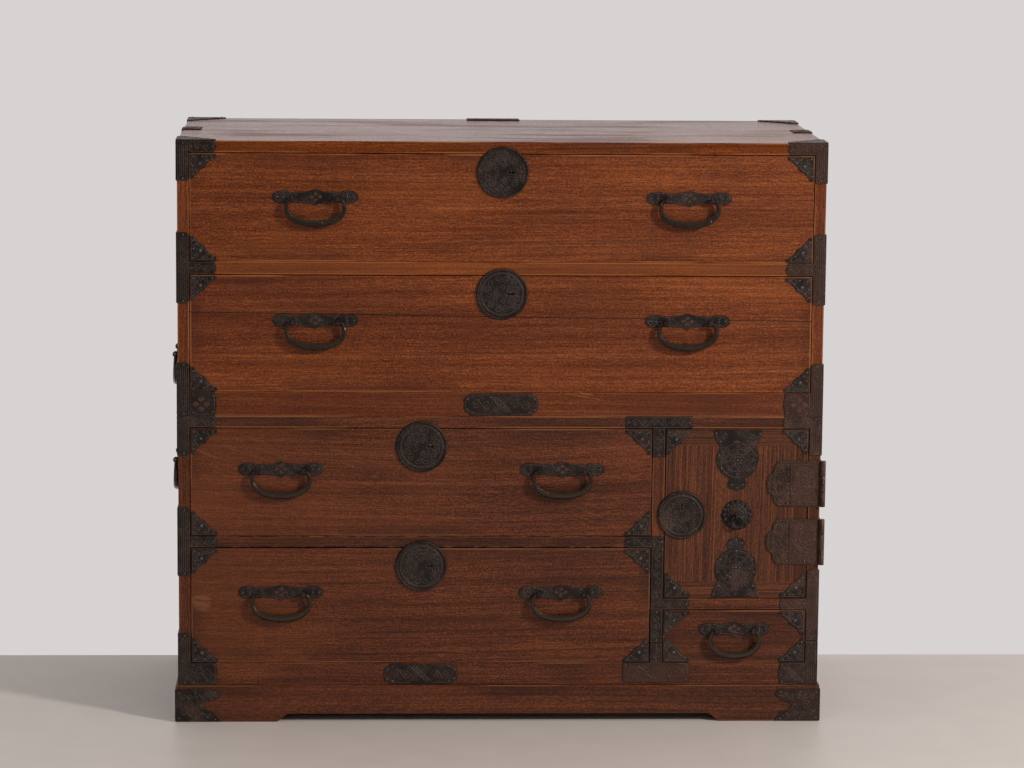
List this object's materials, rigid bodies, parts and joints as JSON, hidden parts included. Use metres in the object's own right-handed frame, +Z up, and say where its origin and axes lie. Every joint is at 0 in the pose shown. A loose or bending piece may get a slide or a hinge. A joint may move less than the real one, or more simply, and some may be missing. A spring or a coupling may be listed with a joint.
{
  "type": "chest of drawers",
  "caption": "Two-section wooden chest on a plinth: full-width drawers above, drawers, a small drawer and a hinged-door cupboard below, with iron corner plates, round locks and bail handles",
  "frame": {"origin": "On the floor, under the middle of the outer box of the whole chest, carrying handles included", "axes": "+X to the right seen from the front, +Y from the front to the back, +Z up; the drawers pull out along -Y"},
  "size_m": [1.0326, 0.4564, 0.9126],
  "materials": {
    "front_wood": "clear lacquer over orange-brown stained boards, worn",
    "case_wood": "clear lacquer over brown stained boards, worn at the edges",
    "inner_wood": "bare planed softwood",
    "plate_iron": "blackened wrought iron sheet, engraved, rust-brown in places",
    "bail_iron": "blackened hand-forged iron, rubbed on its edges",
    "lock_iron": "dark plain iron"
  },
  "bodies": {
    "lower_case": {"plinth": "case_wood", "lower_side_left": "case_wood", "lower_side_right": "case_wood", "lower_top": "case_wood", "lower_bottom": "inner_wood", "lower_back": "inner_wood", "lower_rails": "case_wood", "lower_drawer_shelf": "inner_wood", "lower_divider": "case_wood", "cupboard_floor": "case_wood", "cupboard_shelf": "inner_wood", "lower_irons": "plate_iron", "hinge_case_leaves": "plate_iron", "hinge_pins": "plate_iron"},
    "upper_case": {"upper_top": "case_wood", "upper_bottom": "inner_wood", "upper_side_left": "case_wood", "upper_side_right": "case_wood", "upper_back": "inner_wood", "upper_rails": "case_wood", "upper_drawer_shelf": "inner_wood", "upper_irons": "plate_iron"},
    "drawer_1": {"drawer_1_front": "front_wood", "drawer_1_box": "inner_wood", "drawer_1_irons": "plate_iron", "drawer_1_lock": "lock_iron"},
    "drawer_1_handle_left": {"drawer_1_handle_left": "bail_iron"},
    "drawer_1_handle_right": {"drawer_1_handle_right": "bail_iron"},
    "drawer_2": {"drawer_2_front": "front_wood", "drawer_2_box": "inner_wood", "drawer_2_irons": "plate_iron", "drawer_2_lock": "lock_iron"},
    "drawer_2_handle_left": {"drawer_2_handle_left": "bail_iron"},
    "drawer_2_handle_right": {"drawer_2_handle_right": "bail_iron"},
    "drawer_3": {"drawer_3_front": "front_wood", "drawer_3_box": "inner_wood", "drawer_3_irons": "plate_iron", "drawer_3_lock": "lock_iron"},
    "drawer_3_handle_left": {"drawer_3_handle_left": "bail_iron"},
    "drawer_3_handle_right": {"drawer_3_handle_right": "bail_iron"},
    "drawer_4": {"drawer_4_front": "front_wood", "drawer_4_box": "inner_wood", "drawer_4_irons": "plate_iron", "drawer_4_lock": "lock_iron"},
    "drawer_4_handle_left": {"drawer_4_handle_left": "bail_iron"},
    "drawer_4_handle_right": {"drawer_4_handle_right": "bail_iron"},
    "small_drawer": {"small_drawer_front": "front_wood", "small_drawer_box": "inner_wood", "small_drawer_irons": "plate_iron"},
    "small_drawer_handle": {"small_drawer_handle": "bail_iron"},
    "upper_handle_left": {"upper_handle_left": "bail_iron"},
    "upper_handle_right": {"upper_handle_right": "bail_iron"},
    "lower_handle_left": {"lower_handle_left": "bail_iron"},
    "lower_handle_right": {"lower_handle_right": "bail_iron"},
    "door": {"door_panel": "front_wood", "door_irons": "plate_iron", "door_hinge_leaves": "plate_iron", "door_lock": "lock_iron"},
    "door_ring": {"door_ring": "bail_iron"}
  },
  "joints": [
    {"name": "upper_case_lift", "type": "slide", "parent": "lower_case", "child": "upper_case", "axis": [0, 0, 1], "range_m": [0, 0.1]},
    {"name": "drawer_1_slide", "type": "slide", "parent": "upper_case", "child": "drawer_1", "axis": [0, -1, 0], "range_m": [0, 0.34]},
    {"name": "drawer_1_handle_left_swing", "type": "hinge", "parent": "drawer_1", "child": "drawer_1_handle_left", "pos_m": [-0.288, -0.22225, 0.822], "axis": [-1, 0, 0], "range_deg": [-5, 175]},
    {"name": "drawer_1_handle_right_swing", "type": "hinge", "parent": "drawer_1", "child": "drawer_1_handle_right", "pos_m": [0.288, -0.22225, 0.822], "axis": [-1, 0, 0], "range_deg": [-5, 175]},
    {"name": "drawer_2_slide", "type": "slide", "parent": "upper_case", "child": "drawer_2", "axis": [0, -1, 0], "range_m": [0, 0.34]},
    {"name": "drawer_2_handle_left_swing", "type": "hinge", "parent": "drawer_2", "child": "drawer_2_handle_left", "pos_m": [-0.288, -0.22225, 0.631], "axis": [-1, 0, 0], "range_deg": [-5, 175]},
    {"name": "drawer_2_handle_right_swing", "type": "hinge", "parent": "drawer_2", "child": "drawer_2_handle_right", "pos_m": [0.288, -0.22225, 0.631], "axis": [-1, 0, 0], "range_deg": [-5, 175]},
    {"name": "drawer_3_slide", "type": "slide", "parent": "lower_case", "child": "drawer_3", "axis": [0, -1, 0], "range_m": [0, 0.34]},
    {"name": "drawer_3_handle_left_swing", "type": "hinge", "parent": "drawer_3", "child": "drawer_3_handle_left", "pos_m": [-0.341, -0.22225, 0.398], "axis": [-1, 0, 0], "range_deg": [-5, 175]},
    {"name": "drawer_3_handle_right_swing", "type": "hinge", "parent": "drawer_3", "child": "drawer_3_handle_right", "pos_m": [0.096, -0.22225, 0.398], "axis": [-1, 0, 0], "range_deg": [-5, 175]},
    {"name": "drawer_4_slide", "type": "slide", "parent": "lower_case", "child": "drawer_4", "axis": [0, -1, 0], "range_m": [0, 0.34]},
    {"name": "drawer_4_handle_left_swing", "type": "hinge", "parent": "drawer_4", "child": "drawer_4_handle_left", "pos_m": [-0.341, -0.22225, 0.203], "axis": [-1, 0, 0], "range_deg": [-5, 175]},
    {"name": "drawer_4_handle_right_swing", "type": "hinge", "parent": "drawer_4", "child": "drawer_4_handle_right", "pos_m": [0.096, -0.22225, 0.203], "axis": [-1, 0, 0], "range_deg": [-5, 175]},
    {"name": "small_drawer_slide", "type": "slide", "parent": "lower_case", "child": "small_drawer", "axis": [0, -1, 0], "range_m": [0, 0.34]},
    {"name": "small_drawer_handle_swing", "type": "hinge", "parent": "small_drawer", "child": "small_drawer_handle", "pos_m": [0.36925, -0.22225, 0.144], "axis": [-1, 0, 0], "range_deg": [-5, 175]},
    {"name": "upper_handle_left_swing", "type": "hinge", "parent": "upper_case", "child": "upper_handle_left", "pos_m": [-0.5115, 0.00705, 0.5555], "axis": [0, 1, 0], "range_deg": [-5, 175]},
    {"name": "upper_handle_right_swing", "type": "hinge", "parent": "upper_case", "child": "upper_handle_right", "pos_m": [0.5115, 0.00705, 0.5555], "axis": [0, -1, 0], "range_deg": [-5, 175]},
    {"name": "lower_handle_left_swing", "type": "hinge", "parent": "lower_case", "child": "lower_handle_left", "pos_m": [-0.5115, 0.00705, 0.385], "axis": [0, 1, 0], "range_deg": [-5, 175]},
    {"name": "lower_handle_right_swing", "type": "hinge", "parent": "lower_case", "child": "lower_handle_right", "pos_m": [0.5115, 0.00705, 0.385], "axis": [0, -1, 0], "range_deg": [-5, 175]},
    {"name": "door_swing", "type": "hinge", "parent": "lower_case", "child": "door", "pos_m": [0.5035, -0.21645, 0.33275], "axis": [0, 0, 1], "range_deg": [0, 180]},
    {"name": "door_ring_swing", "type": "hinge", "parent": "door", "child": "door_ring", "pos_m": [0.37005, -0.22275, 0.32925], "axis": [-1, 0, 0], "range_deg": [-5, 165]}
  ]
}
